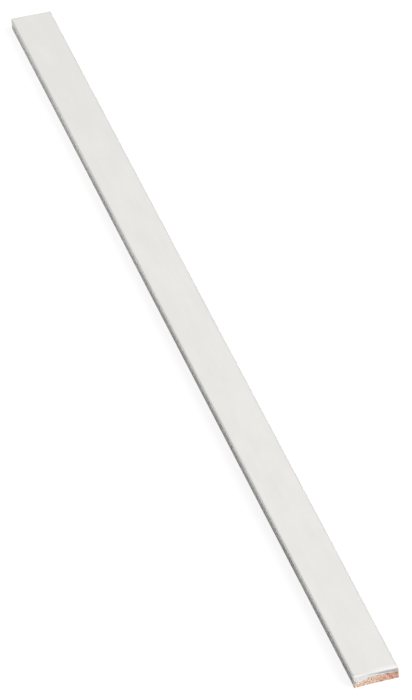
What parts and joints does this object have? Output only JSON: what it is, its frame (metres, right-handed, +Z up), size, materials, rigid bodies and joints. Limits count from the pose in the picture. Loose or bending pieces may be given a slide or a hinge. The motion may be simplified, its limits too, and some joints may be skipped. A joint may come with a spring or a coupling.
{
  "type": "tinned copper busbar",
  "caption": "Short flat length of tinned copper bar with rolled edges and cropped ends, for carrying current between terminals.",
  "frame": {"origin": "under the middle of the bar, on the plane that its underside rests on", "axes": "+Y along the bar, from the near cut end to the far one; +X across its width; +Z up through its thickness"},
  "size_m": [0.01, 0.3, 0.003],
  "materials": {
    "tinned_copper": "satin"
  },
  "bodies": {
    "root": {"busbar": "tinned_copper"}
  },
  "joints": []
}
